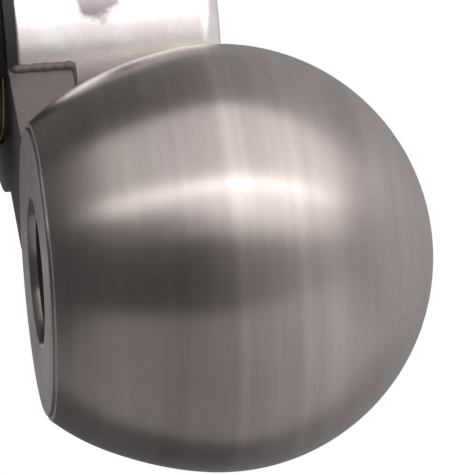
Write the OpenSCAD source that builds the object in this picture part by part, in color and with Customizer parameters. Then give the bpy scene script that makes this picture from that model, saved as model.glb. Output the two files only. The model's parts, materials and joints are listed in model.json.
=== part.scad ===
// Swing-off gooseneck hitch ball: ball and arm on a pivot barrel, flanged shank, and lock pin.
// Z = 0 is the flange's underside, on the shank's axis. The ball is drawn swung off the shank.

/* [Ball] */
// Diameter of the ball
ball_d = 58.74; // [57.5:0.01:60]
// Diameter of the ball's base flat
base_d = 39.8; // [38:0.1:41]
// Distance from the ball's centre to its base
base_drop = 25.3; // [24.8:0.1:25.8]
// Diameter of the bore in the ball's base
bore_d = 19.05; // [18.8:0.01:19.3]
// Depth of that bore
bore_depth = 24; // [20:0.5:28]

/* [Swing arm] */
// Distance from the pivot to the ball's axis, and from the pivot to the shank's axis
arm_reach = 50.8; // [50.6:0.1:52]
// Width of the arm
arm_w = 20; // [18:0.5:22]
// Thickness of the arm
arm_t = 9; // [8:0.1:10]
// Outer diameter of the pivot barrel
barrel_d = 41; // [40:0.1:41.4]
// Height of the barrel's top above the arm's underside
barrel_h = 30.8; // [30:0.1:32]

/* [Shank] */
// Diameter of the shank
shank_d = 31.75; // [31.5:0.01:32]
// Length of the shank below the flange
shank_len = 76.2; // [74:0.1:80]
// Thickness of the flange
flange_t = 12.7; // [12:0.1:14]
// Diameter of the flange round the shank
flange_d = 76; // [72:1:80]
// Length of the shank's plain part, which the truck's plate fits on
grip_len = 25.4; // [24:0.1:27]
// Width of the nut across its flats
nut_flats = 47.6; // [47:0.1:50]
// Height of the nut
nut_h = 19; // [17:0.5:20]

/* [Lock pin] */
// How far the lock pin rises into the ball
pin_travel = 15; // [12:0.5:16]

/* [Hidden] */
$fn = 96;
ball_r = ball_d / 2;
bore_r = bore_d / 2;
arc_r = 31.18;                        // arc of the ball's shoulder
arc_in = 3.23;                        // how far its centre lies past the ball's axis
arc_down = 4.39;                      // and below the ball's centre
barrel_r = barrel_d / 2;
shank_r = shank_d / 2;
thread_r = shank_r - 0.125;           // crests of the thread
run = 0.05;                           // radial running clearance
past = 1;                             // how far a cut runs past the face it opens

// Ball, arm and barrel
arm_z = flange_t + 3;                 // the arm's underside and the ball's base
ball_z = arm_z + base_drop;
weld_side_r = 1.9;                    // bead up the arm's sides
weld_top_r = 1.7;                     // bead across its top
barrel_z = arm_z + 1.5;               // the barrel's lower end, on the arm's collar
barrel_top = arm_z + barrel_h;
edge = 1.2;                           // cut on the barrel's top edge
recess_z = arm_z + 4;                 // roof of the barrel's bottom recess
recess_r = 18;
collar_r = barrel_r - 0.3;
lap_r = 17;                           // the collar starts inside the stop sector
pocket_r = 16.4;
cap_t = 2.2;
snap_t = 1.2;                         // thickness of the cap's snap ring
snap_r = 17.4;                        // floor of the snap ring's groove
snap_gap = 6;
cap_z = barrel_top - 0.5 - snap_t - cap_t;
nipple_z = barrel_top - 15.4;
nipple_turn = 35;                     // where the grease nipple stands round the barrel
nipple_hole_r = 2.5;

// Pivot
post_r = 9.525;
post_foot_r = 13.5;                   // the post's foot sits in the flange's underside
post_foot_z = 0.3;
post_foot_top = 4;
bush_r = 12.7;
shoulder_r = 12.7;
shoulder_z = flange_t + 2.7;
washer_z = barrel_top - 14.4;         // underside of the retaining washer
washer_t = 2.4;
counterbore_z = washer_z - 2.2;
screw_r = 4;                          // retaining screw

// Stops, in angles round the pivot
sector_start = 247;                   // the arm's stop sector runs on from this angle
sector_span = 135;
sector_in_r = 13.4;
bumper_start = 203;
bumper_span = 43;
bumper_in_r = 13.6;
bumper_out_r = 17;
stop_screw_r = 1.1;
stop_screw_pitch_r = 15.3;
stop_screw_angles = [212, 237];

// Flange, seat ring and detent
lobe_r = 26;                          // the flange round the pivot
web_top_x = 33;                       // half widths of the web between the flange's two discs
web_low_x = 25.2;
seat_r = 18.6;
seat_screw_r = 1.6;
seat_screw_pitch_r = 15.6;
seat_screw_angles = [0:60:300];
detent_z = flange_t / 2;
detent_r = 3;                         // the tapped hole from the rim to the lock pin
detent_ball_r = 2.65;
detent_screw_in = 25.2;               // inner end of the detent screw

// Lock pin, rod, ring, washer and nut
pin_r = bore_r - 0.075;
pin_top = arm_z - 0.5;
pin_bottom = -36;
pin_bush_r = 12;
pin_bush_bottom = -14;
spring_bore_r = 10.3;
rod_r = 4;
rod_socket = 16;                      // how far the rod goes into the pin
cross_z = pin_bottom + 8;             // the roll pin through both
cross_r = 1.5;
cross_len = 17.2;
eye_z = -106;                         // centre of the rod's eye
eye_r = 6.2;
eye_half = 3.4;                       // half the eye's thickness between its flats
plug_t = 6;
plug_flats = 24;
clip_t = 1.2;
ring_r = 15;
ring_wire = 1.9;
washer_gap = 3;                       // plain shank left between flange plate and washer
lock_washer_r = 25.4;
lock_washer_t = 7;
nut_top = -grip_len - washer_gap - lock_washer_t - 0.2;

module at_pivot() { translate([0, -arm_reach, 0]) children(); }
module at_ball() { translate([0, -2 * arm_reach, 0]) children(); }
module disc(r, z0, z1) { translate([0, 0, z0]) cylinder(h = z1 - z0, r = r); }
module tube(r_out, r_in, z0, z1) {
    difference() {
        disc(r_out, z0, z1);
        disc(r_in, z0 - past, z1 + past);
    }
}
// A pie slice of a tube, from one angle on through a span under 180 degrees
module sector(r_in, r_out, z0, z1, start, span) {
    far = 2 * r_out;
    intersection() {
        tube(r_out, r_in, z0, z1);
        translate([0, 0, z0 - past]) linear_extrude(z1 - z0 + 2 * past)
            polygon([[0, 0], far * [cos(start), sin(start)],
                far * [cos(start + span / 2), sin(start + span / 2)],
                far * [cos(start + span), sin(start + span)]]);
    }
}
// Hexagon with its corners turned down at both ends
module hexagon(flats, z0, z1) {
    corner = flats / sqrt(3);
    chamfer = corner - flats / 2;
    intersection() {
        translate([0, 0, z0]) cylinder(h = z1 - z0, r = corner, $fn = 6);
        rotate_extrude() polygon([[0, z0], [flats / 2 - 0.4, z0], [corner + 0.4, z0 + chamfer * 0.6],
            [corner + 0.4, z1 - chamfer * 0.6], [flats / 2 - 0.4, z1], [0, z1]]);
    }
}

// The shoulder's arc is wider than the sphere, and leaves it a little below the middle
module ball_outside(grow = 0) {
    at_ball() translate([0, 0, ball_z]) {
        sphere(r = ball_r + grow, $fn = 128);
        rotate_extrude() intersection() {
            translate([-arc_in, -arc_down]) circle(r = arc_r + grow, $fn = 256);
            polygon([[0, -base_drop - grow], [base_d / 2 + grow, -base_drop - grow],
                [base_d / 2 + 0.5 + grow, -base_drop + 0.5], [40, -base_drop + 17], [0, -base_drop + 17]]);
        }
    }
}
module ball() {
    color("rosybrown") difference() {
        intersection() {
            ball_outside();
            at_ball() disc(2 * ball_r, arm_z, ball_z + 2 * ball_r);
        }
        at_ball() rotate_extrude() polygon([[0, arm_z - 1], [bore_r + 1.6, arm_z - 1], [bore_r, arm_z + 0.6],
            [bore_r, arm_z + bore_depth], [0, arm_z + bore_depth + 5]]);
    }
}
module arm_web() {
    // It runs from inside the ball's shoulder to inside the barrel's wall
    reach_in = 16;
    translate([-arm_w / 2, reach_in - 2 * arm_reach, arm_z]) cube([arm_w, arm_reach - 2 * reach_in + 2, arm_t]);
}
// Radius of the ball's shoulder at a distance below the ball's centre
function shoulder_at(drop) = sqrt(arc_r * arc_r - pow(drop - arc_down, 2)) - arc_in;
// The ball's shoulder where the arm meets it, as a stack of cones just outside it
module arm_ball_seat() {
    steps = 10;
    at_ball() rotate_extrude() polygon(concat([[0, arm_z - 1], [shoulder_at(base_drop) + 0.08, arm_z - 1]],
        [for (i = [0:steps]) let(h = (arm_t + 1) * i / steps) [shoulder_at(base_drop - h) + 0.08, arm_z + h]],
        [[0, arm_z + arm_t + 1]]));
}
module swing_arm() {
    color("gray") {
        difference() {
            arm_web();
            arm_ball_seat();
            at_pivot() disc(recess_r - 0.6, arm_z - past, arm_z + arm_t + past);
        }
        at_pivot() sector(sector_in_r, recess_r, arm_z, recess_z - 0.1, sector_start, sector_span);
        at_pivot() sector(lap_r, collar_r, arm_z, barrel_z, sector_start, sector_span);
    }
}
module weld_run(x, y) { translate([x, y, 0]) disc(weld_side_r, arm_z + 0.4, arm_z + arm_t); }
module weld_across(y) {
    translate([-arm_w / 2, y, arm_z + arm_t]) rotate([0, 90, 0]) cylinder(h = arm_w, r = weld_top_r);
}
module ball_weld() {
    // The bead lies where the arm's sides and top meet the ball's shoulder
    side_y = -2 * arm_reach + 22.6;
    top_y = -2 * arm_reach + 25.7;
    color("dimgray") difference() {
        union() {
            for (s = [-1, 1]) weld_run(s * (arm_w / 2 + 0.3), side_y);
            weld_across(top_y);
        }
        ball_outside();
        arm_web();
    }
}
module barrel_weld() {
    side_y = -arm_reach - sqrt(barrel_r * barrel_r - arm_w * arm_w / 4);
    color("dimgray") difference() {
        union() {
            for (s = [-1, 1]) weld_run(s * (arm_w / 2 + 0.2), side_y);
            weld_across(-arm_reach - barrel_r);
        }
        at_pivot() disc(barrel_r, 0, barrel_top);
        arm_web();
        ball_outside(0.2);
    }
}
// On the nipple's axis, this far outside the barrel and looking in
module at_nipple(out) {
    at_pivot() translate([0, 0, nipple_z]) rotate([90, 0, nipple_turn]) translate([0, 0, -barrel_r - out])
        children();
}
module pivot_barrel() {
    color("gainsboro") difference() {
        at_pivot() rotate_extrude() polygon([[bush_r, recess_z], [recess_r, recess_z], [recess_r, barrel_z],
            [barrel_r - 0.3, barrel_z], [barrel_r, barrel_z + 0.3], [barrel_r, barrel_top - edge],
            [barrel_r - 0.3 * edge, barrel_top - 0.3 * edge], [barrel_r - edge, barrel_top],
            [pocket_r, barrel_top], [pocket_r, counterbore_z], [bush_r, counterbore_z]]);
        arm_web();
        at_pivot() disc(snap_r, cap_z + cap_t, cap_z + cap_t + snap_t);
        at_nipple(2) cylinder(h = 8, r = nipple_hole_r);
    }
}
module barrel_cap() {
    color("darkgray") at_pivot() disc(pocket_r - 0.02, cap_z, cap_z + cap_t);
}
module cap_ring() {
    // A snap ring in the barrel's groove, open at its lugs
    color("dimgray") at_pivot() difference() {
        tube(snap_r - 0.05, pocket_r - 1.6, cap_z + cap_t, cap_z + cap_t + snap_t);
        translate([-snap_gap / 2, 0, cap_z]) cube([snap_gap, 20, 9]);
    }
}
module upper_bush() {
    color("goldenrod") at_pivot() difference() {
        union() {
            disc(bush_r, arm_z + 9, counterbore_z + 1);
            disc(pocket_r - 0.3, counterbore_z, washer_z - 0.2);
        }
        disc(post_r + run, 0, barrel_top);
    }
}
module lower_bush() {
    color("goldenrod") at_pivot() difference() {
        union() {
            disc(bush_r, recess_z - 1, arm_z + 8.6);
            disc(bush_r + 0.5, recess_z - 1.6, recess_z);
        }
        disc(post_r + run, 0, barrel_top);
    }
}
module grease_nipple() {
    color("gold") at_nipple(6.5) rotate_extrude() polygon([[0, 0], [1.6, 0], [2.1, 0.8], [2.1, 1.6],
        [1.5, 2.4], [1.5, 3.4], [3.3, 4.2], [3.3, 6.3], [2.4, 6.7], [2.4, 10.2], [0, 10.2]]);
}
module dust_seal() {
    // The lip goes round under the barrel where the arm's collar stops
    color("black") difference() {
        at_pivot() tube(collar_r, 17.6, arm_z, barrel_z);
        at_pivot() sector(1, 2 * barrel_r, arm_z - 1, barrel_z + 1, sector_start, sector_span);
        arm_web();
    }
}
module flange_outline() {
    disc(flange_d / 2, 0, flange_t);
    at_pivot() disc(lobe_r, 0, flange_t);
    linear_extrude(flange_t)
        polygon([[-web_top_x, 0], [web_top_x, 0], [web_low_x, -arm_reach + 2], [-web_low_x, -arm_reach + 2]]);
}
module at_seat_screws() {
    for (a = seat_screw_angles) rotate(a) translate([seat_screw_pitch_r, 0, 0]) children();
}
module at_stop_screws() {
    at_pivot() for (a = stop_screw_angles) rotate(a) translate([stop_screw_pitch_r, 0, 0]) children();
}
module flanged_shank() {
    color("dimgray") difference() {
        union() {
            flange_outline();
            disc(shank_r, -grip_len, 1);
            disc(thread_r, -shank_len, -grip_len + 1);
        }
        disc(pin_bush_r, pin_bush_bottom, flange_t + past);
        disc(spring_bore_r, -shank_len - past, pin_bush_bottom + past);
        at_pivot() disc(post_r, -past, flange_t + past);
        at_pivot() disc(post_foot_r, -past, post_foot_top);
        translate([0, 0, detent_z]) rotate([-90, 0, 0]) cylinder(h = flange_d, r = detent_r);
        at_seat_screws() disc(seat_screw_r, flange_t - 7, flange_t + past);
        at_stop_screws() disc(stop_screw_r, flange_t - 6, flange_t + past);
    }
}
module pivot_post() {
    color("slategray") at_pivot() difference() {
        union() {
            disc(post_r, post_foot_z, washer_z);
            disc(shoulder_r, flange_t, shoulder_z);
            disc(post_foot_r, post_foot_z, post_foot_top);
        }
        disc(screw_r, washer_z - 14, washer_z + past);
    }
}
module thrust_washer() {
    color("peru") at_pivot() tube(shoulder_r - 0.1, post_r + 0.1, shoulder_z, recess_z - 1.8);
}
module retaining_washer() {
    color("silver") at_pivot() tube(14.6, screw_r + 0.3, washer_z, washer_z + washer_t);
}
module retaining_screw() {
    head_z = washer_z + washer_t;
    color("silver") at_pivot() {
        disc(screw_r, washer_z - 12, head_z + past);
        hexagon(11, head_z, head_z + 5);
    }
}
module stop_bumper() {
    color("black") difference() {
        at_pivot() sector(bumper_in_r, bumper_out_r, flange_t, recess_z - 0.9, bumper_start, bumper_span);
        at_stop_screws() disc(stop_screw_r, 0, barrel_top);
    }
}
module stop_screws() {
    color("silver") at_stop_screws() disc(stop_screw_r, flange_t - 6, recess_z - 1.2);
}
module seat_ring() {
    color("slategray") difference() {
        tube(seat_r, bore_r + 0.2, flange_t, shoulder_z);
        at_seat_screws() rotate_extrude() polygon([[0, flange_t - past], [seat_screw_r, flange_t - past],
            [seat_screw_r, shoulder_z - 1.2], [2.9, shoulder_z + 0.1], [0, shoulder_z + 0.1]]);
    }
}
module seat_screws() {
    color("silver") at_seat_screws() difference() {
        rotate_extrude() polygon([[0, flange_t - 6.5], [seat_screw_r, flange_t - 6.5],
            [seat_screw_r, shoulder_z - 1.2], [2.6, shoulder_z - 0.2], [0, shoulder_z - 0.2]]);
        translate([0, 0, shoulder_z - 1.3]) cylinder(h = 2, r = 1, $fn = 6);
    }
}
module pin_bush() {
    color("goldenrod") difference() {
        tube(pin_bush_r, pin_r + run, pin_bush_bottom, flange_t);
        translate([0, 0, detent_z]) rotate([-90, 0, 0]) cylinder(h = 20, r = detent_r);
    }
}
module detent_ball() {
    color("silver") translate([0, pin_r + 2 * run + detent_ball_r, detent_z])
        sphere(r = detent_ball_r, $fn = 48);
}
// Point of the detent spring's wire, u and v round the wire at turn t
function coil_point(turn, around) = let(a = 360 * turn, r = 1.9 + 0.35 * cos(around))
    [r * cos(a), 15.6 + 1.25 * turn + 0.35 * sin(around), r * sin(a)];
module detent_spring() {
    turns = 7;
    steps = 16 * turns;
    sides = 8;
    points = [for (i = [0:steps], k = [0:sides - 1]) coil_point(i / 16, -360 * k / sides)];
    walls = [for (i = [0:steps - 1], k = [0:sides - 1]) let(n = (k + 1) % sides)
        [i * sides + k, i * sides + n, (i + 1) * sides + n, (i + 1) * sides + k]];
    first = [for (k = [0:sides - 1]) sides - 1 - k];
    last = [for (k = [0:sides - 1]) steps * sides + k];
    color("silver") translate([0, 0, detent_z]) polyhedron(points, concat(walls, [first], [last]));
}
module detent_screw() {
    color("dimgray") translate([0, 0, detent_z]) rotate([-90, 0, 0]) difference() {
        disc(detent_r, detent_screw_in, flange_d / 2 - 1.2);
        translate([0, 0, flange_d / 2 - 5]) cylinder(h = 6, r = 1.7, $fn = 6);
    }
}
module end_plug() {
    color("slategray") difference() {
        union() {
            disc(spring_bore_r, -shank_len, -shank_len + 12);
            hexagon(plug_flats, -shank_len - plug_t, -shank_len);
        }
        disc(rod_r + run, eye_z, 0);
    }
}
// A cut through on X
module across(z, r) { translate([-20, 0, z]) rotate([0, 90, 0]) cylinder(h = 40, r = r); }
module lock_pin() {
    color("silver") difference() {
        rotate_extrude() polygon([[0, pin_bottom], [pin_r - 0.6, pin_bottom], [pin_r, pin_bottom + 0.6],
            [pin_r, pin_top - 1.5], [pin_r - 1.5, pin_top], [0, pin_top]]);
        disc(rod_r, pin_bottom - past, pin_bottom + rod_socket);
        across(cross_z, cross_r);
    }
}
module pull_rod() {
    color("silver") difference() {
        union() {
            disc(rod_r, eye_z, pin_bottom + rod_socket);
            translate([0, 0, eye_z]) sphere(r = eye_r, $fn = 64);
        }
        across(cross_z, cross_r);
        across(eye_z, ring_wire + 0.7);
        for (side = [0, 1]) mirror([side, 0, 0]) translate([eye_half, -10, eye_z - 10]) cube([10, 20, 14]);
    }
}
module roll_pin() {
    color("silver") translate([-cross_len / 2, 0, cross_z]) rotate([0, 90, 0]) tube(cross_r, 0.7, 0, cross_len);
}
module rod_circlip() {
    // The clip meets the plug's underside when the pin is fully up
    clip_z = -shank_len - plug_t - pin_travel - 1.5;
    color("silver") difference() {
        tube(7, rod_r, clip_z, clip_z + clip_t);
        translate([-1.5, 0, clip_z - 1]) cube([3, 20, 4]);
    }
}
module pull_ring() {
    color("silver") translate([0, 0, eye_z - ring_r]) rotate([90, 0, 0])
        rotate_extrude() translate([ring_r, 0]) circle(r = ring_wire, $fn = 32);
}
module lock_washer() {
    // The split runs aslant, as on a spring washer
    top = nut_top + lock_washer_t + 0.2;
    color("silver") difference() {
        tube(lock_washer_r, thread_r + 0.4, top - lock_washer_t, top);
        translate([20, 0, top - 3.5]) rotate([25, 0, 0]) cube([20, 1.6, 30], center = true);
    }
}
module hex_nut() {
    color("darkgray") difference() {
        hexagon(nut_flats, nut_top - nut_h, nut_top);
        disc(thread_r + run, -shank_len, 0);
        translate([0, 0, nut_top - nut_h - 1]) cylinder(h = 3, r1 = thread_r + 3, r2 = thread_r);
    }
}

ball();
swing_arm();
ball_weld();
barrel_weld();
pivot_barrel();
barrel_cap();
cap_ring();
upper_bush();
lower_bush();
grease_nipple();
dust_seal();
flanged_shank();
pivot_post();
thrust_washer();
retaining_washer();
retaining_screw();
stop_bumper();
stop_screws();
seat_ring();
seat_screws();
pin_bush();
detent_screw();
detent_spring();
detent_ball();
end_plug();
lock_pin();
pull_rod();
roll_pin();
rod_circlip();
pull_ring();
lock_washer();
hex_nut();
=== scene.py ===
import json
import math

import bmesh
import bpy
from mathutils import Matrix, Vector

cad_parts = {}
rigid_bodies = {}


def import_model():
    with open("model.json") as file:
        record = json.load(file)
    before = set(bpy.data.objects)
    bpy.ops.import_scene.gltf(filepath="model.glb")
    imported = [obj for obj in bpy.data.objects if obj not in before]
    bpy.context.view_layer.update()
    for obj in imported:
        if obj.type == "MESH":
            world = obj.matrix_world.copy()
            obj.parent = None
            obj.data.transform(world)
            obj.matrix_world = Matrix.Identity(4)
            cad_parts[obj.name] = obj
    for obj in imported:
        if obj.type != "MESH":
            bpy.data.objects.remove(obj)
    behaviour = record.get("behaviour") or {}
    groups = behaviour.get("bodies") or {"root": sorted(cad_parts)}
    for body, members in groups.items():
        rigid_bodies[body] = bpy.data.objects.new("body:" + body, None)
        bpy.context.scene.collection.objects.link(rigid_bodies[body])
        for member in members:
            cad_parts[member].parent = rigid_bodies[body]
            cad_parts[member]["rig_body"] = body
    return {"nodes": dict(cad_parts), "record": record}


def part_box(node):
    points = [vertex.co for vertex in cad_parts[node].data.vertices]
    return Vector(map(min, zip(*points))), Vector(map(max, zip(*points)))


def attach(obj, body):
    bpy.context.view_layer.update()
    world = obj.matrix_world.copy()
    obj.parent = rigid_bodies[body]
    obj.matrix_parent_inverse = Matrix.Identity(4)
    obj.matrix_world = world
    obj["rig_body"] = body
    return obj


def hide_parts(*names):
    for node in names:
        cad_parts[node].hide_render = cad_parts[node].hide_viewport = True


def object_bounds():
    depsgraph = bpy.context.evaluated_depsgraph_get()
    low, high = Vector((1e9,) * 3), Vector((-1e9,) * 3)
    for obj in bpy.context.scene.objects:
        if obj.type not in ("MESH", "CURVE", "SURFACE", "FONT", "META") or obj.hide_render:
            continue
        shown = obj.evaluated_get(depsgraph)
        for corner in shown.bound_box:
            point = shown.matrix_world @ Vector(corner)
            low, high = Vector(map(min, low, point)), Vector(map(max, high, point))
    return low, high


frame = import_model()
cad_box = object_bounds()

MM = 0.001
nodes = frame["nodes"]


# ---------------------------------------------------------------- sizes from the frame
def centre_of(node):
    """Centre of a node's box."""
    lo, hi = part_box(node)
    return (lo + hi) / 2


def span(node):
    """Lowest and highest z of a node."""
    lo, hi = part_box(node)
    return lo.z, hi.z


def radius_of(node):
    """Half of a node's width in x."""
    lo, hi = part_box(node)
    return (hi.x - lo.x) / 2


PIVOT = Vector((0, centre_of("pivot_post").y, 0))
BALL = Vector((0, 2 * PIVOT.y, 0))
SHANK = Vector((0, 0, 0))

# The ball: a sphere, a cubic and then an arc down to the base
BALL_R = 29.37 * MM
BASE_Z, BALL_TOP = span("ball")
BALL_Z = BALL_TOP - BALL_R
BASE_R = 19.9 * MM
BORE_R = 9.525 * MM
BORE_DEPTH = 24 * MM
SPHERE_ENDS = 3 * MM
SHOULDER_STARTS = 17 * MM
SHOULDER_ARC_R = 31.18 * MM
SHOULDER_ARC_DROP = 4.39 * MM
SHOULDER_ARC_IN = 3.23 * MM

# Arm and barrel
ARM_HALF_WIDTH = 10 * MM
WELD_REACH = 0.75 * MM
BARREL_TOP_EDGE = 3.2 * MM
BARREL_BORE_R = 12.7 * MM
CAP_POCKET_R = 16.4 * MM
SNAP_GROOVE_R = 17.4 * MM
SEAL_RECESS_R = 18 * MM
SEAL_RECESS_TOP = BASE_Z + 4 * MM
POST_R = 9.525 * MM
POST_FOOT_R = 13.5 * MM
POST_FOOT_TOP = 4 * MM
POST_COLLAR_R = 12.7 * MM

# Flange and shank
FLANGE_T = 12.7 * MM
FLANGE_TIP_R = 26 * MM
WEB_HALF_TOP = 33 * MM
WEB_HALF_FOOT = 25.2 * MM
SHANK_R = 15.875 * MM
SHANK_BORE_R = 10.3 * MM
SHANK_FOOT = span("flanged_shank")[0]
THREAD_TOP = -25.4 * MM
THREAD_PITCH = 25.4 * MM / 12
THREAD_CREST_R = 15.75 * MM
THREAD_ROOT_R = 14.55 * MM
NUT_BORE_R = 15.8 * MM
PIN_BUSH_R = 12 * MM
PIN_BUSH_FOOT = span("pin_bush")[0]
DETENT_Z = FLANGE_T / 2
DETENT_HOLE_R = 3.02 * MM
SEAT_SCREWS = 6
SEAT_SCREW_PITCH = 15.6 * MM
SEAT_SCREW_R = 1.55 * MM
SEAT_SCREW_HEAD_R = 2.5 * MM
SEAT_SCREW_HOLE_R = 1.6 * MM
SEAT_SCREW_HOLE_DEPTH = 7 * MM

# Marks on the steel. A tool mark is a paler ring: its height, its half width and how pale it is
TOOL_MARKS = (
    (BALL_Z - 0.7 * MM, 1.3 * MM, 0.26),
    (BALL_Z + 1.0 * MM, 0.8 * MM, 0.1),
    (BALL_Z + 7.9 * MM, 1.3 * MM, 0.13),
)
# A dark purplish patch on the barrel's top: its centre and its size
DARK_PATCH_AT = PIVOT + Vector((-17.6, -10.5, 29.5)) * MM
DARK_PATCH_SIZE = 4.4 * MM


# ---------------------------------------------------------------- materials
class Nodes:
    """Short calls for a material's node tree."""

    def __init__(self, name):
        self.mat = bpy.data.materials.new(name)
        self.mat.use_nodes = True
        self.tree = self.mat.node_tree
        self.bsdf = self.tree.nodes["Principled BSDF"]
        self.coords = self.add("ShaderNodeTexCoord").outputs["Object"]

    def add(self, kind, **inputs):
        n = self.tree.nodes.new(kind)
        for key, value in inputs.items():
            self.put(n.inputs[key.replace("_", " ")], value)
        return n

    def put(self, socket, value):
        if isinstance(value, bpy.types.NodeSocket):
            self.tree.links.new(value, socket)
        else:
            socket.default_value = value

    def noise(self, scale, detail, rough, stretch=(1, 1, 1), shift=(0, 0, 0)):
        mapping = self.add("ShaderNodeMapping", Location=shift, Scale=stretch, Vector=self.coords)
        n = self.add("ShaderNodeTexNoise", Scale=scale, Detail=detail, Roughness=rough,
            Vector=mapping.outputs["Vector"])
        return n.outputs["Fac"]

    def ramp(self, fac, stops):
        """A colour ramp. A stop is a place with a colour or a grey."""
        n = self.add("ShaderNodeValToRGB")
        self.put(n.inputs["Fac"], fac)
        ramp = n.color_ramp
        while len(ramp.elements) < len(stops):
            ramp.elements.new(0.5)
        for e, (at, colour) in zip(ramp.elements, stops):
            e.position = at
            e.color = (*colour, 1) if isinstance(colour, tuple) else (colour, colour, colour, 1)
        return n.outputs["Color"]

    def math(self, op, a, b=0.0):
        n = self.add("ShaderNodeMath")
        n.operation = op
        self.put(n.inputs[0], a)
        self.put(n.inputs[1], b)
        return n.outputs[0]

    def mix(self, fac, a, b, blend="MIX"):
        n = self.add("ShaderNodeMix")
        n.data_type = "RGBA"
        n.blend_type = blend
        self.put(n.inputs["Factor"], fac)
        self.put(n.inputs[6], a if isinstance(a, bpy.types.NodeSocket) else (*a, 1))
        self.put(n.inputs[7], b if isinstance(b, bpy.types.NodeSocket) else (*b, 1))
        return n.outputs[2]

    def bump(self, height, strength, distance):
        n = self.add("ShaderNodeBump", Strength=strength, Distance=distance)
        self.put(n.inputs["Height"], height)
        self.put(self.bsdf.inputs["Normal"], n.outputs["Normal"])

    def set(self, **inputs):
        for key, value in inputs.items():
            self.put(self.bsdf.inputs[key.replace("_", " ")], value)
        return self.mat


def turned(name, light, dark, rough, ring, ring_depth, aniso=0.5, tool_marks=()):
    """Lathe-turned metal: rings about the vertical axis, with cloudy tarnish over them."""
    m = Nodes(name)
    fine = m.noise(ring, 3.0, 0.7, (0.02, 0.02, 1))
    broad = m.noise(ring * 0.16, 2.0, 0.5, (0.06, 0.06, 1), (3.1, 1.7, 0.4))
    cloud = m.noise(38.0, 5.0, 0.6, (1, 1, 1), (0.3, 0.9, 0.1))
    tone = m.math("ADD", m.math("MULTIPLY", broad, 0.55), m.math("MULTIPLY", cloud, 0.45))
    colour = m.ramp(tone, [(0.32, dark), (0.68, light)])
    bright = tuple(min(c * 1.6, 1) for c in light)
    for height, half_width, pale in tool_marks:
        place = m.add("ShaderNodeSeparateXYZ", Vector=m.coords)
        off = m.math("ABSOLUTE", m.math("SUBTRACT", place.outputs["Z"], height))
        mark = m.ramp(m.math("DIVIDE", off, half_width), [(0.1, pale), (1.0, 0.0)])
        colour = m.mix(mark, colour, bright)
    streaks = m.ramp(fine, [(0.35, 0.9), (0.62, 1.0)])
    m.put(m.bsdf.inputs["Base Color"], m.mix(0.55, colour, streaks, "MULTIPLY"))
    m.put(m.bsdf.inputs["Roughness"], m.ramp(cloud, [(0.3, rough[0]), (0.7, rough[1])]))
    m.bump(fine, 0.35, ring_depth * MM)
    # A quarter turn makes the highlight run across the rings, as on real turned steel
    tangent = m.add("ShaderNodeTangent")
    tangent.direction_type = "RADIAL"
    tangent.axis = "Z"
    m.put(m.bsdf.inputs["Tangent"], tangent.outputs["Tangent"])
    return m.set(Metallic=1.0, Anisotropic=aniso, Anisotropic_Rotation=0.25)


def polished(name, light, dark, dark_patch, dark_patch_at, dark_patch_size):
    """Bright metal off the polishing wheel: wavy, a little scratched, with a dark purplish patch round one
    point.
    """
    m = Nodes(name)
    smear = m.noise(75.0, 6.0, 0.65, (1, 1, 1.6))
    marks = m.noise(420.0, 4.0, 0.7, (1, 1, 0.15), (0.7, 0.2, 0.5))
    waves = m.noise(130.0, 1.5, 0.5, (1, 1, 0.7), (0.4, 1.3, 0.2))
    mottle = m.noise(210.0, 5.0, 0.65, (1, 1, 1.2), (2.1, 0.6, 1.4))
    # The colour turns dark purplish round a given point, with a mottled edge
    away = m.add("ShaderNodeVectorMath")
    away.operation = "DISTANCE"
    m.put(away.inputs[0], m.coords)
    away.inputs[1].default_value = dark_patch_at
    edge = m.math("ADD", away.outputs["Value"], m.math("MULTIPLY", mottle, -0.9 * dark_patch_size))
    in_dark_patch = m.ramp(m.math("DIVIDE", edge, dark_patch_size), [(0.3, 0.85), (0.62, 0.0)])
    clean = m.ramp(smear, [(0.3, dark), (0.7, light)])
    metal = m.mix(m.ramp(mottle, [(0.4, 0.0), (0.75, 0.45)]), clean, dark)
    m.put(m.bsdf.inputs["Base Color"], m.mix(in_dark_patch, metal, dark_patch))
    m.put(m.bsdf.inputs["Roughness"], m.ramp(smear, [(0.3, 0.34), (0.7, 0.18)]))
    height = m.math("ADD", m.math("MULTIPLY", waves, 14.0), m.math("MULTIPLY", marks, 0.4))
    m.bump(height, 0.3, 0.03 * MM)
    return m.set(Metallic=0.8)


def faced(name, light, dark):
    """A machined flat face: a fine even grain, duller than the turned outside."""
    m = Nodes(name)
    cloud = m.noise(120.0, 5.0, 0.6, (1, 1, 1), (0.8, 0.2, 0.5))
    grain = m.noise(1600.0, 3.0, 0.6)
    m.put(m.bsdf.inputs["Base Color"], m.ramp(cloud, [(0.3, dark), (0.7, light)]))
    m.put(m.bsdf.inputs["Roughness"], m.ramp(cloud, [(0.3, 0.58), (0.7, 0.46)]))
    m.bump(grain, 0.4, 0.02 * MM)
    return m.set(Metallic=0.55)


def rough_steel(name, light, dark, grain, rough, depth, metallic=1.0):
    """Forged, plated, blacked or welded steel: grainy, and darker in the hollows."""
    m = Nodes(name)
    grains = m.noise(grain, 5.0, 0.65)
    cloud = m.noise(45.0, 5.0, 0.6, (1, 1, 1), (1.9, 0.4, 0.8))
    tone = m.math("ADD", m.math("MULTIPLY", grains, 0.4), m.math("MULTIPLY", cloud, 0.6))
    m.put(m.bsdf.inputs["Base Color"], m.ramp(tone, [(0.32, dark), (0.66, light)]))
    m.put(m.bsdf.inputs["Roughness"], m.ramp(cloud, [(0.3, rough[0]), (0.7, rough[1])]))
    m.bump(grains, 0.5, depth * MM)
    return m.set(Metallic=metallic)


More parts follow.
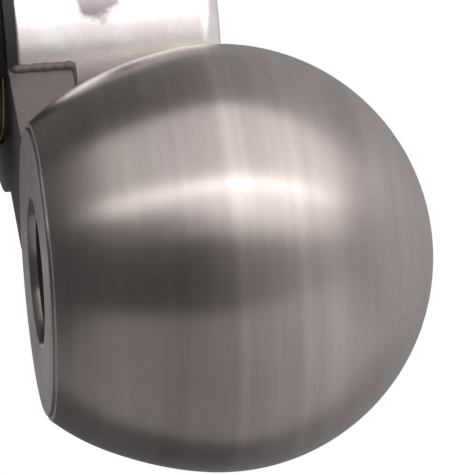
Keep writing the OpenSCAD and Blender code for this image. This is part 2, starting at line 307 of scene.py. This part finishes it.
def rubber(name, light, dark):
    """Black rubber with a fine grain and some dust."""
    m = Nodes(name)
    grain = m.noise(1500.0, 3.0, 0.6)
    dust = m.noise(90.0, 4.0, 0.6, (1, 1, 1), (0.2, 2.0, 0.6))
    m.put(m.bsdf.inputs["Base Color"], m.ramp(dust, [(0.35, dark), (0.75, light)]))
    m.put(m.bsdf.inputs["Roughness"], m.ramp(dust, [(0.3, 0.5), (0.7, 0.72)]))
    m.bump(grain, 0.4, 0.03 * MM)
    return m.mat


def painted_floor(name, colour, rough):
    """A pale floor whose tone wanders a little."""
    m = Nodes(name)
    shade = tuple(c * 0.985 for c in colour)
    m.put(m.bsdf.inputs["Base Color"], m.ramp(m.noise(9.0, 3.0, 0.5), [(0.3, colour), (0.7, shade)]))
    return m.set(Roughness=rough)


# A material for each slot of the record: its light and dark tones, and then its grain and gloss
MATERIALS = {
    "turned_steel": turned("turned_steel", (0.47, 0.415, 0.395), (0.33, 0.285, 0.275),
        rough=(0.27, 0.36), ring=1150.0, ring_depth=0.03, aniso=0.65, tool_marks=TOOL_MARKS),
    "arm_steel": rough_steel("arm_steel", (0.21, 0.18, 0.177), (0.14, 0.12, 0.118),
        grain=900.0, rough=(0.42, 0.58), depth=0.02, metallic=0.6),
    "weld_steel": rough_steel("weld_steel", (0.19, 0.16, 0.158), (0.12, 0.10, 0.10),
        grain=1200.0, rough=(0.5, 0.65), depth=0.02, metallic=0.6),
    "polished_barrel": polished("polished_barrel", (0.86, 0.84, 0.83), (0.66, 0.58, 0.57),
        dark_patch=(0.1, 0.065, 0.085), dark_patch_at=DARK_PATCH_AT, dark_patch_size=DARK_PATCH_SIZE),
    "cap_steel": turned("cap_steel", (0.60, 0.57, 0.56), (0.46, 0.43, 0.42),
        rough=(0.25, 0.36), ring=1400.0, ring_depth=0.02),
    "zinc_hardware": rough_steel("zinc_hardware", (0.66, 0.67, 0.68), (0.50, 0.51, 0.52),
        grain=500.0, rough=(0.24, 0.4), depth=0.01),
    "bronze": turned("bronze", (0.66, 0.43, 0.19), (0.47, 0.28, 0.11),
        rough=(0.25, 0.4), ring=1300.0, ring_depth=0.02),
    "yellow_zinc": rough_steel("yellow_zinc", (0.75, 0.60, 0.27), (0.60, 0.43, 0.17),
        grain=400.0, rough=(0.25, 0.4), depth=0.01),
    "black_rubber": rubber("black_rubber", (0.03, 0.027, 0.026), (0.011, 0.010, 0.011)),
    "forged_steel": rough_steel("forged_steel", (0.25, 0.235, 0.23), (0.13, 0.12, 0.12),
        grain=420.0, rough=(0.42, 0.62), depth=0.12),
    "ground_steel": turned("ground_steel", (0.55, 0.54, 0.54), (0.42, 0.41, 0.41),
        rough=(0.22, 0.32), ring=1800.0, ring_depth=0.01),
    "dark_hardware": rough_steel("dark_hardware", (0.075, 0.075, 0.08), (0.035, 0.035, 0.04),
        grain=600.0, rough=(0.35, 0.55), depth=0.02),
}
FACE_STEEL = faced("face_steel", (0.5, 0.45, 0.46), (0.4, 0.355, 0.365))
# The inside of the bore gets a near-black brown: painted shade for the dim inside of the hole
BORE_PAINTED_SHADE = rough_steel("bore_painted_shade", (0.06, 0.042, 0.04), (0.035, 0.025, 0.024),
    grain=500.0, rough=(0.5, 0.65), depth=0.04, metallic=0.5)
SLOT_OF = {s["node"]: s["material_slot"] for s in frame["record"]["subparts"]}


# ---------------------------------------------------------------- making pieces
def body_of(node):
    return nodes[node]["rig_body"]


def finish_mesh(name, bm, body, stands_for, slot, smooth_angle=32.0, weighted=True):
    """Turns a bmesh into a riding piece that stands for its CAD node."""
    bmesh.ops.remove_doubles(bm, verts=bm.verts, dist=1e-7)
    bmesh.ops.recalc_face_normals(bm, faces=bm.faces)
    mesh = bpy.data.meshes.new(name)
    bm.to_mesh(mesh)
    bm.free()
    mesh.shade_smooth()
    mesh.set_sharp_from_angle(angle=math.radians(smooth_angle))
    mesh.materials.append(MATERIALS[slot])
    piece = bpy.data.objects.new(name, mesh)
    bpy.context.scene.collection.objects.link(piece)
    if weighted:
        mod = piece.modifiers.new("weighted", "WEIGHTED_NORMAL")
        mod.keep_sharp = True
    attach(piece, body)
    if stands_for:
        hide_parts(*stands_for)
    return piece


def arc(centre_r, centre_z, r, start, end, steps):
    """Points of an arc, in degrees, as (radius, z)."""
    out = []
    for i in range(steps + 1):
        a = math.radians(start + (end - start) * i / steps)
        out.append((centre_r + r * math.cos(a), centre_z + r * math.sin(a)))
    return out


def rounded(points, r):
    """A profile with its corners rounded, apart from its two ends."""
    steps = 4
    out = [points[0]]
    for before, corner, after in zip(points, points[1:], points[2:]):
        c, a, b = Vector(corner), Vector(before), Vector(after)
        cut = min(r, (a - c).length * 0.45, (b - c).length * 0.45)
        p, q = c + (a - c).normalized() * cut, c + (b - c).normalized() * cut
        for i in range(steps + 1):
            t = i / steps
            out.append(tuple(p * (1 - t) ** 2 + c * (2 * t * (1 - t)) + q * t * t))
    out.append(points[-1])
    return out


def at_angle(value, a):
    """A number, or a function's value at an angle."""
    return value(a) if callable(value) else value


def ring_of(bm, count, r, z, centre=SHANK):
    """A ring of vertices about a vertical axis, with r and z as numbers or functions of the angle."""
    out = []
    for k in range(count):
        a = 2 * math.pi * k / count
        radius = at_angle(r, a)
        x, y = radius * math.cos(a), radius * math.sin(a)
        out.append(bm.verts.new((centre.x + x, centre.y + y, at_angle(z, a))))
    return out


def ring_round(bm, count, centre, r, across, along):
    """A ring of vertices round a point of a path."""
    out = []
    for k in range(count):
        a = 2 * math.pi * k / count
        out.append(bm.verts.new(centre + across * (r * math.cos(a)) + along * (r * math.sin(a))))
    return out


def loft(bm, rings, closed=False):
    """Joins rings of equal length with quads."""
    count = len(rings[0])
    pairs = list(zip(rings, rings[1:]))
    if closed:
        pairs.append((rings[-1], rings[0]))
    for low, high in pairs:
        for k in range(count):
            n = (k + 1) % count
            bm.faces.new([low[k], low[n], high[n], high[k]])


def cap_ends(bm, rings):
    bm.faces.new(rings[0])
    bm.faces.new(rings[-1])


def revolve(bm, profile, centre, segments):
    """Spins a profile of (radius, z) about a vertical axis through centre."""
    rings = []
    for r, z in profile:
        if r < 1e-7:
            rings.append([bm.verts.new((centre.x, centre.y, z))])
        else:
            rings.append(ring_of(bm, segments, r, z, centre))
    for low, high in zip(rings, rings[1:]):
        for k in range(segments):
            n = (k + 1) % segments
            corners = [low[k % len(low)], low[n % len(low)], high[n % len(high)], high[k % len(high)]]
            unique = list(dict.fromkeys(corners))
            if len(unique) > 2:
                bm.faces.new(unique)


def lathe(node, profile, centre, edge=0.0, segments=160):
    """A round piece that stands for a CAD node, with corners rounded by edge, in millimetres."""
    bm = bmesh.new()
    if edge:
        profile = rounded(profile, edge * MM)
    revolve(bm, profile, centre, segments)
    return finish_mesh(node + "_turned", bm, body_of(node), [node], SLOT_OF[node])


def tube_profile(node, r_out, r_in):
    """A closed ring section as high as the node, which starts in the middle of its inner wall."""
    z0, z1 = span(node)
    mid = (z0 + z1) / 2
    return [(r_in, mid), (r_in, z0), (r_out, z0), (r_out, z1), (r_in, z1), (r_in, mid)]


def refined(node, bevel):
    """A copy of a CAD node's shape with its sharp edges softened by bevel, in millimetres."""
    bm = bmesh.new()
    bm.from_mesh(nodes[node].data)
    bmesh.ops.remove_doubles(bm, verts=bm.verts, dist=2e-6)
    bmesh.ops.dissolve_limit(bm, angle_limit=math.radians(1), verts=bm.verts, edges=bm.edges)
    piece = finish_mesh(node + "_refined", bm, body_of(node), [node], SLOT_OF[node], weighted=False)
    mod = piece.modifiers.new("edges", "BEVEL")
    mod.width = bevel * MM
    mod.segments = 2
    mod.limit_method = "ANGLE"
    mod.angle_limit = math.radians(35)
    mod.harden_normals = True


def hexagon(half_flats, a):
    """Distance from a hexagon's centre to its side, in direction a."""
    return half_flats / math.cos(a % (math.pi / 3) - math.pi / 6)


# ---------------------------------------------------------------- the ball
def ball_radius(drop):
    """Outside radius at a distance below the ball's centre."""
    def sphere(d):
        r = math.sqrt(BALL_R ** 2 - d ** 2)
        return r, -d / r

    def shoulder(d):
        r = math.sqrt(SHOULDER_ARC_R ** 2 - (d - SHOULDER_ARC_DROP) ** 2)
        return r - SHOULDER_ARC_IN, -(d - SHOULDER_ARC_DROP) / r

    if drop <= SPHERE_ENDS:
        return sphere(drop)[0]
    if drop >= SHOULDER_STARTS:
        return shoulder(drop)[0]
    # A cubic that meets both with their own radius and slope
    (r0, slope0), (r1, slope1) = sphere(SPHERE_ENDS), shoulder(SHOULDER_STARTS)
    run = SHOULDER_STARTS - SPHERE_ENDS
    t = (drop - SPHERE_ENDS) / run
    return ((2 * t ** 3 - 3 * t ** 2 + 1) * r0 + (t ** 3 - 2 * t ** 2 + t) * run * slope0
        + (3 * t ** 2 - 2 * t ** 3) * r1 + (t ** 3 - t ** 2) * run * slope1)


def make_ball():
    """The turned outside, the faced base with its edges broken, and a drilled bore with a coned end."""
    rim_r, lip_r, mouth_r = 0.6 * MM, 0.5 * MM, 0.4 * MM
    cone = 5 * MM
    bore_end = BASE_Z + BORE_DEPTH
    profile = [(BALL_R * math.sin(math.radians(a)), BALL_Z + BALL_R * math.cos(math.radians(a)))
        for a in range(0, 90, 2)]
    drop_to_edge = BALL_Z - BASE_Z - 0.55 * MM
    steps = 34
    for i in range(steps + 1):
        drop = drop_to_edge * i / steps
        profile.append((ball_radius(drop), BALL_Z - drop))
    profile += arc(BASE_R - 0.62 * MM, BASE_Z + rim_r, rim_r, -15, -90, 5)
    profile += arc(BORE_R + 1.0 * MM, BASE_Z + lip_r, lip_r, -90, -140, 3)
    profile += arc(BORE_R + mouth_r, BASE_Z + 1.3 * MM, mouth_r, 200, 180, 2)
    profile += [(BORE_R, bore_end - 0.3 * MM), (BORE_R - 0.3 * MM, bore_end), (0, bore_end + cone)]
    ball = lathe("ball", profile, BALL, segments=256)
    ball.data.materials.append(FACE_STEEL)
    ball.data.materials.append(BORE_PAINTED_SHADE)
    for face in ball.data.polygons:
        from_axis = (face.center - Vector((BALL.x, BALL.y, face.center.z))).length
        # Faces inside the bore take the painted shade material
        if from_axis < BORE_R + 0.3 * MM and face.center.z < bore_end + cone + MM:
            face.material_index = 2
        elif face.normal.z < -0.9 and face.center.z < BASE_Z + MM:
            face.material_index = 1


# ---------------------------------------------------------------- the pivot
def make_barrel():
    """One turned sleeve, with a rounded top edge, a snap-ring groove and a recess round its lower end."""
    foot_r, foot_edge, mouth_edge = 0.5 * MM, 0.2 * MM, 0.3 * MM
    r = radius_of("pivot_barrel")
    z0, z1 = span("pivot_barrel")
    step = span("retaining_washer")[0] - 2.2 * MM
    ring_low, ring_high = span("cap_ring")
    middle = (SEAL_RECESS_TOP + step) / 2
    profile = [(BARREL_BORE_R, middle), (BARREL_BORE_R, SEAL_RECESS_TOP), (SEAL_RECESS_R, SEAL_RECESS_TOP),
        (SEAL_RECESS_R, z0 + foot_edge), (SEAL_RECESS_R + foot_edge, z0)]
    profile += arc(r - foot_r, z0 + foot_r, foot_r, -90, 0, 5)
    profile += arc(r - BARREL_TOP_EDGE, z1 - BARREL_TOP_EDGE, BARREL_TOP_EDGE, 0, 90, 12)
    profile += [(CAP_POCKET_R + mouth_edge, z1), (CAP_POCKET_R, z1 - mouth_edge), (CAP_POCKET_R, ring_high),
        (SNAP_GROOVE_R, ring_high), (SNAP_GROOVE_R, ring_low), (CAP_POCKET_R, ring_low), (CAP_POCKET_R, step),
        (BARREL_BORE_R, step), (BARREL_BORE_R, middle)]
    lathe("pivot_barrel", profile, PIVOT, segments=224)


def make_cap():
    """A pressed disc with a shallow dish in the middle."""
    r = radius_of("barrel_cap") - 0.05 * MM
    z0, z1 = span("barrel_cap")
    dish = z1 - 0.9 * MM
    profile = [(0, z0), (r, z0), (r, z1), (11.4 * MM, z1), (9.6 * MM, dish), (0, dish)]
    lathe("barrel_cap", profile, PIVOT, edge=0.5, segments=192)


def make_post():
    """The shouldered post, from its foot under the flange to the washer's seat."""
    z0, z1 = span("pivot_post")
    shoulder = span("thrust_washer")[0]
    foot_r, stem_r = POST_FOOT_R - 0.1 * MM, POST_R - 0.025 * MM
    collar_foot = FLANGE_T + 0.02 * MM
    profile = [(0, z0), (foot_r, z0), (foot_r, POST_FOOT_TOP), (stem_r, POST_FOOT_TOP), (stem_r, collar_foot),
        (POST_COLLAR_R, collar_foot), (POST_COLLAR_R, shoulder), (stem_r, shoulder), (stem_r, z1), (0, z1)]
    lathe("pivot_post", profile, PIVOT, edge=0.3, segments=128)


def make_weld(node, centre, side, radius_at):
    """A smooth bead where the arm's sides and top meet a round body, which lies to one side of it in y."""
    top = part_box("swing_arm")[1].z
    low = BASE_Z + 0.4 * MM
    steps, sides = 30, 16
    along_y = Vector((0, 1, 0))

    def seam(x, z):
        return Vector((x, centre.y + side * math.sqrt(radius_at(z) ** 2 - x * x), z))

    path = [seam(-ARM_HALF_WIDTH, low + (top - low) * i / steps) for i in range(steps)]
    path += [seam(-ARM_HALF_WIDTH + ARM_HALF_WIDTH * i / steps, top) for i in range(2 * steps + 1)]
    path += [seam(ARM_HALF_WIDTH, top + (low - top) * i / steps) for i in range(1, steps + 1)]
    last = len(path) - 1
    bm = bmesh.new()
    rings = []
    for i, p in enumerate(path):
        ahead = (path[min(i + 1, last)] - path[max(i - 1, 0)]).normalized()
        across = ahead.cross(along_y).normalized()
        thin_at_ends = min(1, 0.4 + 0.2 * min(i, last - i))
        ripple = 1 + 0.07 * math.sin(i * 1.15) + 0.05 * math.sin(i * 0.43 + 1)
        rings.append(ring_round(bm, sides, p, WELD_REACH * thin_at_ends * ripple, across, along_y))
    loft(bm, rings)
    cap_ends(bm, rings)
    finish_mesh(node + "_bead", bm, body_of(node), [node], "weld_steel", 60, weighted=False)


# ---------------------------------------------------------------- flange, shank and thread
def outline_of_flange(inset):
    """The two discs and the web between them, as the CAD draws them, moved in by inset."""
    per_arc, along_web, samples = 120, 12, 400
    big_r, small_r = radius_of("flanged_shank") - inset, FLANGE_TIP_R - inset
    top, bottom = Vector((WEB_HALF_TOP - inset, 0)), Vector((WEB_HALF_FOOT - inset, PIVOT.y + 2 * MM))
    down = bottom - top
    web = [(i / samples, top + down * (i / samples)) for i in range(samples + 1)]
    leave = max(t for t, p in web if p.length <= big_r)
    enter = min(t for t, p in web if (p - Vector((0, PIVOT.y))).length <= small_r)
    a, b = top + down * leave, top + down * enter
    start = math.atan2(a.y, a.x)
    end = math.atan2(b.y - PIVOT.y, b.x)
    half = []
    for i in range(per_arc + 1):
        t = math.pi / 2 + (start - math.pi / 2) * i / per_arc
        half.append((big_r * math.cos(t), big_r * math.sin(t)))
    for i in range(1, along_web):
        p = a.lerp(b, i / along_web)
        half.append((p.x, p.y))
    for i in range(per_arc + 1):
        t = end + (-math.pi / 2 - end) * i / per_arc
        half.append((small_r * math.cos(t), PIVOT.y + small_r * math.sin(t)))
    return half + [(-x, y) for x, y in reversed(half[1:-1])]


def drill(name, r, start, end):
    """A round cutter from one point to another."""
    bm = bmesh.new()
    bmesh.ops.create_cone(bm, cap_ends=True, segments=64, radius1=r, radius2=r, depth=(end - start).length)
    mesh = bpy.data.meshes.new(name)
    bm.to_mesh(mesh)
    bm.free()
    tool = bpy.data.objects.new(name, mesh)
    tool.rotation_mode = "QUATERNION"
    tool.rotation_quaternion = (end - start).to_track_quat("Z", "Y")
    tool.location = (start + end) / 2
    bpy.context.scene.collection.objects.link(tool)
    bpy.context.view_layer.update()
    return tool


def cut_away(piece, tools):
    """Cuts the tools out of a piece, bakes its modifiers into its mesh and removes the tools."""
    for tool in tools:
        cut = piece.modifiers.new(tool.name, "BOOLEAN")
        cut.operation = "DIFFERENCE"
        cut.solver = "EXACT"
        cut.object = tool
    graph = bpy.context.evaluated_depsgraph_get()
    mesh = bpy.data.meshes.new_from_object(piece.evaluated_get(graph))
    piece.modifiers.clear()
    piece.data = mesh
    for tool in tools:
        bpy.data.objects.remove(tool)


def make_flange():
    """The forged plate with rounded edges, bored for the parts that it holds."""
    # Each edge as (inwards, away from the face), in millimetres, from the face to the rim
    lower_edge = [(1.1, 0), (0.55, 0.08), (0.2, 0.35), (0, 0.9)]
    upper_edge = [(1.9, 0), (1.0, 0.18), (0.35, 0.7), (0, 1.7)]
    levels = [(inset, z * MM) for inset, z in lower_edge]
    levels += [(inset, FLANGE_T - z * MM) for inset, z in reversed(upper_edge)]
    bm = bmesh.new()
    rings = [[bm.verts.new((x, y, z)) for x, y in outline_of_flange(inset * MM)] for inset, z in levels]
    loft(bm, rings)
    cap_ends(bm, rings[::-1])
    plate = finish_mesh("flange_plate", bm, body_of("flanged_shank"), ["flanged_shank"], "forged_steel", 40)

    def upright(name, r, at, low, high):
        return drill(name, r, at + Vector((0, 0, low)), at + Vector((0, 0, high)))

    below, above = -5 * MM, FLANGE_T + 5 * MM
    past_rim = radius_of("flanged_shank") + 2 * MM
    holes = [
        upright("pin_bore", PIN_BUSH_R, SHANK, below, above),
        upright("post_bore", POST_R, PIVOT, below, above),
        upright("post_foot", POST_FOOT_R, PIVOT, below, POST_FOOT_TOP),
        drill("detent_hole", DETENT_HOLE_R, Vector((0, 0, DETENT_Z)), Vector((0, past_rim, DETENT_Z))),
    ]
    for i in range(SEAT_SCREWS):
        turn = 2 * math.pi * i / SEAT_SCREWS
        at = Vector((SEAT_SCREW_PITCH * math.cos(turn), SEAT_SCREW_PITCH * math.sin(turn), 0))
        bottom = FLANGE_T - SEAT_SCREW_HOLE_DEPTH
        holes.append(upright("seat_screw_hole", SEAT_SCREW_HOLE_R, at, bottom, above))
    cut_away(plate, holes)


def make_shank():
    """A hollow shank: the plain part, and the thread as one field of radius over turn and height."""
    around, rows_per_pitch = 96, 14
    edge = 0.6 * MM
    run_in, run_out, foot_taper = 1.8 * MM, 1.6 * MM, 0.5 * MM
    foot, length = SHANK_FOOT, THREAD_TOP - SHANK_FOOT
    rows = int(length / THREAD_PITCH * rows_per_pitch)
    bm = bmesh.new()
    inside = [(PIN_BUSH_R, 0.2 * MM), (PIN_BUSH_R, PIN_BUSH_FOOT), (SHANK_BORE_R, PIN_BUSH_FOOT),
        (SHANK_BORE_R, foot + edge), (SHANK_BORE_R + edge, foot), (THREAD_ROOT_R - foot_taper, foot)]
    rings = [ring_of(bm, around, r, z) for r, z in inside]
    for i in range(rows + 1):
        z = foot + 0.02 * MM + length * i / rows
        ends = max(0, min(1, (z - foot) / run_in, (THREAD_TOP - z) / run_out + 0.15))
        low = THREAD_ROOT_R if z < THREAD_TOP - run_out else THREAD_ROOT_R + 0.3 * MM
        taper = foot_taper * max(0, 1 - (z - foot) / foot_taper)

        def field(a):
            turn = (z / THREAD_PITCH - a / (2 * math.pi)) % 1
            wave = 1 - abs(2 * turn - 1)
            tooth = min(max((wave - 0.1) / 0.78, 0), 1)
            return low + (THREAD_CREST_R - low) * tooth * ends - taper

        rings.append(ring_of(bm, around, field, z))
    outside = [(THREAD_ROOT_R + 0.4 * MM, THREAD_TOP + 0.05 * MM),
        (SHANK_R - 0.5 * MM, THREAD_TOP + 0.25 * MM), (SHANK_R, THREAD_TOP + 0.8 * MM),
        (SHANK_R, -1.5 * MM), (SHANK_R + 0.5 * MM, -0.4 * MM), (SHANK_R + 1.2 * MM, 0.2 * MM)]
    rings += [ring_of(bm, around, r, z) for r, z in outside]
    loft(bm, rings, closed=True)
    finish_mesh("shank_thread", bm, body_of("flanged_shank"), [], "ground_steel", 38, weighted=False)


def make_seat_screws():
    """Countersunk screws on a circle about the shank, with a hexagon socket in each head."""
    around = 30
    socket_half_flats, socket_depth = 0.9 * MM, 1.0 * MM
    foot_edge, socket_edge, head_edge = 0.3 * MM, 0.1 * MM, 0.12 * MM
    z0, z1 = span("seat_screws")

    def socket(a):
        return hexagon(socket_half_flats, a)

    levels = [(SEAT_SCREW_R - foot_edge, z0), (SEAT_SCREW_R, z0 + foot_edge),
        (SEAT_SCREW_R, z1 - socket_depth), (SEAT_SCREW_HEAD_R, z1 - head_edge),
        (SEAT_SCREW_HEAD_R - head_edge, z1),
        (lambda a: socket(a) + socket_edge, z1), (socket, z1 - socket_edge), (socket, z1 - socket_depth)]
    bm = bmesh.new()
    for i in range(SEAT_SCREWS):
        turn = 2 * math.pi * i / SEAT_SCREWS
        at = Vector((SEAT_SCREW_PITCH * math.cos(turn), SEAT_SCREW_PITCH * math.sin(turn), 0))
        rings = [ring_of(bm, around, r, z, at) for r, z in levels]
        loft(bm, rings)
        cap_ends(bm, rings)
    node = "seat_screws"
    finish_mesh(node + "_socket", bm, body_of(node), [node], SLOT_OF[node])


# ---------------------------------------------------------------- lock pin, ring and nut
def make_lock_pin():
    """A pin with a chamfered foot, a detent groove, a tapered nose and a centre drilled in its top."""
    z0, z1 = span("lock_pin")
    r = radius_of("lock_pin")
    foot, groove_half, groove_depth, nose = 0.6 * MM, 1.2 * MM, 0.6 * MM, 1.5 * MM
    profile = [(0, z0), (r - foot, z0), (r, z0 + foot), (r, DETENT_Z - groove_half),
        (r - groove_depth, DETENT_Z), (r, DETENT_Z + groove_half), (r, z1 - nose), (r - nose, z1),
        (2.4 * MM, z1), (1.6 * MM, z1 - 0.9 * MM), (0, z1 - 1.6 * MM)]
    lathe("lock_pin", profile, SHANK, edge=0.2, segments=128)


def make_ring():
    """A finger ring of round wire, closed by a brazed joint at its foot."""
    lo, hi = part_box("pull_ring")
    wire = (hi.y - lo.y) / 2
    ring_r = (hi.x - lo.x) / 2 - wire
    centre = (lo + hi) / 2
    turns, sides, foot_at = 160, 20, 0.75
    bm = bmesh.new()
    rings = []
    for i in range(turns):
        a = 2 * math.pi * i / turns
        away = Vector((math.cos(a), 0, math.sin(a)))
        from_foot = i / turns - foot_at
        swell = 0.012 * math.exp(-(from_foot * 40) ** 2)
        joint = 0.22 * MM if abs(from_foot * turns) < 1.2 else 0
        r = wire * (0.985 + swell) - joint
        rings.append(ring_round(bm, sides, centre + away * ring_r, r, away, Vector((0, 1, 0))))
    loft(bm, rings, closed=True)
    finish_mesh("pull_ring_wire", bm, "ring", ["pull_ring"], SLOT_OF["pull_ring"], 50, weighted=False)


def make_nut():
    """A hexagon turned down at its corners, with a smooth bore just outside the thread."""
    around = 240
    mouth, face_edge, corner_edge = 1.6 * MM, 0.6 * MM, 0.25 * MM
    lo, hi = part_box("hex_nut")
    flats = (hi.y - lo.y) / 2

    def side(a):
        return hexagon(flats, a)

    def chamfer(a):
        return max(0, (side(a) - (flats - face_edge)) * math.tan(math.radians(30)))

    # Half of the section as (radius, distance in from the face), from mid-height to the side
    half = [(NUT_BORE_R, (hi.z - lo.z) / 2), (NUT_BORE_R, mouth), (NUT_BORE_R + 1.5 * MM, 0),
        (flats - 1.0 * MM, 0), (flats - face_edge, 0.06 * MM),
        (lambda a: side(a) - corner_edge, lambda a: chamfer(a) - 0.02 * MM),
        (side, lambda a: chamfer(a) + 0.3 * MM)]
    bm = bmesh.new()
    rings = [ring_of(bm, around, r, lambda a: lo.z + at_angle(inwards, a)) for r, inwards in half]
    rings += [ring_of(bm, around, r, lambda a: hi.z - at_angle(inwards, a)) for r, inwards in reversed(half)]
    loft(bm, rings)
    finish_mesh("hex_nut_turned", bm, "nut", ["hex_nut"], SLOT_OF["hex_nut"], 26)


# ---------------------------------------------------------------- put it together
make_ball()
make_barrel()
make_cap()
make_seat_screws()
refined("swing_arm", 0.35)
make_weld("ball_weld", BALL, 1, lambda z: ball_radius(BALL_Z - z))
make_weld("barrel_weld", PIVOT, -1, lambda z: radius_of("pivot_barrel"))
make_flange()
make_shank()
make_post()
make_lock_pin()
make_ring()
make_nut()
lathe("seat_ring", tube_profile("seat_ring", 18.6 * MM, 9.73 * MM), SHANK, edge=0.5)
lathe("pin_bush", tube_profile("pin_bush", PIN_BUSH_R, 9.5 * MM), SHANK, edge=0.3)
lathe("thrust_washer", tube_profile("thrust_washer", 12.6 * MM, 9.63 * MM), PIVOT, edge=0.2)
for node in ("cap_ring", "dust_seal", "stop_bumper", "lock_washer", "end_plug", "pull_rod", "rod_circlip",
        "detent_screw", "grease_nipple"):
    refined(node, 0.35 if node in ("stop_bumper", "lock_washer", "end_plug") else 0.12)
for name, obj in nodes.items():
    obj.data.materials.clear()
    obj.data.materials.append(MATERIALS[SLOT_OF[name]])


# ---------------------------------------------------------------- stage, camera and lights
def make_floor():
    bm = bmesh.new()
    bmesh.ops.create_grid(bm, x_segments=1, y_segments=1, size=3.0)
    mesh = bpy.data.meshes.new("floor")
    bm.to_mesh(mesh)
    bm.free()
    floor = bpy.data.objects.new("floor", mesh)
    floor.location = (0, BALL.y / 2, cad_box[0].z - 0.4 * MM)
    bpy.context.scene.collection.objects.link(floor)
    mesh.materials.append(painted_floor("pale_floor", (0.86, 0.855, 0.85), 0.7))
    # The metal reflects the studio's surround and not the floor
    floor.visible_glossy = False


def make_camera():
    """Looks at the ball from beside and a little under its base, and rolls to lay its axis across the view.

    Returns the ball's centre and the camera's forward, right and up directions.
    """
    azimuth, elevation, roll = (math.radians(angle) for angle in (39, 7.5, 4.5))
    distance = 650 * MM
    aim_right, aim_up = 2.5506 * MM, 2.8112 * MM
    level = Vector((math.sin(azimuth), math.cos(azimuth), 0))
    look = level * math.cos(elevation) + Vector((0, 0, math.sin(elevation)))
    along = (Vector((0, 0, 1)) - look * look.z).normalized()
    across = (-look).cross(along)
    right = along * math.cos(roll) - across * math.sin(roll)
    up = along * math.sin(roll) + across * math.cos(roll)
    cam_data = bpy.data.cameras.new("camera")
    cam_data.lens = 359.242
    cam_data.sensor_width = 36
    cam_data.clip_start = 0.01
    cam = bpy.data.objects.new("camera", cam_data)
    centre = Vector((BALL.x, BALL.y, BALL_Z))
    cam.location = centre - look * distance + right * aim_right + up * aim_up
    cam.rotation_mode = "QUATERNION"
    cam.rotation_quaternion = Matrix((right, up, -look)).transposed().to_quaternion()
    bpy.context.scene.collection.objects.link(cam)
    bpy.context.scene.camera = cam
    return centre, look, right, up


def make_world(bright_side):
    """A white backdrop for the camera, and for the metal a grey surround that is lighter on one side."""
    world = bpy.data.worlds.new("studio")
    world.use_nodes = True
    tree = world.node_tree
    tree.nodes.clear()
    out = tree.nodes.new("ShaderNodeOutputWorld")
    path = tree.nodes.new("ShaderNodeLightPath")
    mix = tree.nodes.new("ShaderNodeMixShader")
    seen = tree.nodes.new("ShaderNodeBackground")
    lit = tree.nodes.new("ShaderNodeBackground")
    seen.inputs["Color"].default_value = (1, 1, 1, 1)
    lit.inputs["Color"].default_value = (0.95, 0.93, 0.93, 1)
    coords = tree.nodes.new("ShaderNodeTexCoord")
    facing = tree.nodes.new("ShaderNodeVectorMath")
    facing.operation = "DOT_PRODUCT"
    facing.inputs[1].default_value = bright_side.normalized()
    level = tree.nodes.new("ShaderNodeMapRange")
    for name, value in (("From Min", -0.15), ("From Max", 0.9), ("To Min", 0.14), ("To Max", 0.8)):
        level.inputs[name].default_value = value
    for start, end in (
        (coords.outputs["Generated"], facing.inputs[0]),
        (facing.outputs["Value"], level.inputs["Value"]),
        (level.outputs["Result"], lit.inputs["Strength"]),
        (path.outputs["Is Camera Ray"], mix.inputs["Fac"]),
        (lit.outputs[0], mix.inputs[1]),
        (seen.outputs[0], mix.inputs[2]),
        (mix.outputs[0], out.inputs["Surface"]),
    ):
        tree.links.new(start, end)
    bpy.context.scene.world = world


make_floor()
centre, look, right, up = make_camera()
make_world(right + look * 0.1 + up * 0.35)


def toward(degrees_up, degrees_right):
    """A direction so far from the camera's, towards the picture's top and right."""
    a, b = math.radians(degrees_up), math.radians(degrees_right)
    return (-look * math.cos(a) + up * math.sin(a)) * math.cos(b) + right * math.sin(b)


def receivers(name, wanted):
    """A collection of the meshes that a light shines on."""
    group = bpy.data.collections.new(name)
    for thing in bpy.context.scene.objects:
        if thing.type == "MESH" and wanted(thing.name):
            group.objects.link(thing)
    return group


def soft_light(name, shines_on, direction, distance, size, power, target=centre, long_side=right):
    """A rectangular lamp that faces its target and shines on one collection."""
    data = bpy.data.lights.new(name, "AREA")
    data.shape = "RECTANGLE"
    data.size, data.size_y = size
    data.energy = power
    light = bpy.data.objects.new(name, data)
    light.visible_camera = False
    direction = direction.normalized()
    light.location = target + direction * distance
    x = -long_side.cross(direction).cross(direction)
    x.normalize()
    light.rotation_mode = "QUATERNION"
    light.rotation_quaternion = Matrix((x, direction.cross(x), direction)).transposed().to_quaternion()
    light.light_linking.receiver_collection = shines_on
    bpy.context.scene.collection.objects.link(light)


whole_object = receivers("whole_object", lambda name: name != "floor")
barrel_only = receivers("barrel_only", lambda name: name.startswith("pivot_barrel"))
ball_only = receivers("ball_only", lambda name: name.startswith("ball"))
floor_only = receivers("floor_only", lambda name: name == "floor")
behind_base = Vector((look.x, look.y, -0.12)) + up * 0.3
soft_light("top_softbox", whole_object, toward(56, 12), 0.9, (2.2, 1.2), 8.4)
soft_light("band_softbox", whole_object, toward(40, 9), 0.85, (1.9, 0.045), 1.6, long_side=right + up * 0.15)
soft_light("low_fill", whole_object, toward(-72, 10), 1.0, (3.4, 1.9), 5.8)
soft_light("base_kicker", whole_object, behind_base, 0.62, (0.22, 0.5), 0.26)
soft_light("barrel_card", barrel_only, toward(26, 6), 0.8, (1.5, 0.66), 2.4)
soft_light("glow_card", ball_only, toward(24, 9), 0.85, (0.9, 0.36), 0.64)
soft_light("floor_light", floor_only, Vector((0, 0, 1)), 2.2, (4.0, 4.0), 26.0,
    target=PIVOT, long_side=Vector((1, 0, 0)))
bpy.context.scene.view_settings.view_transform = "Standard"
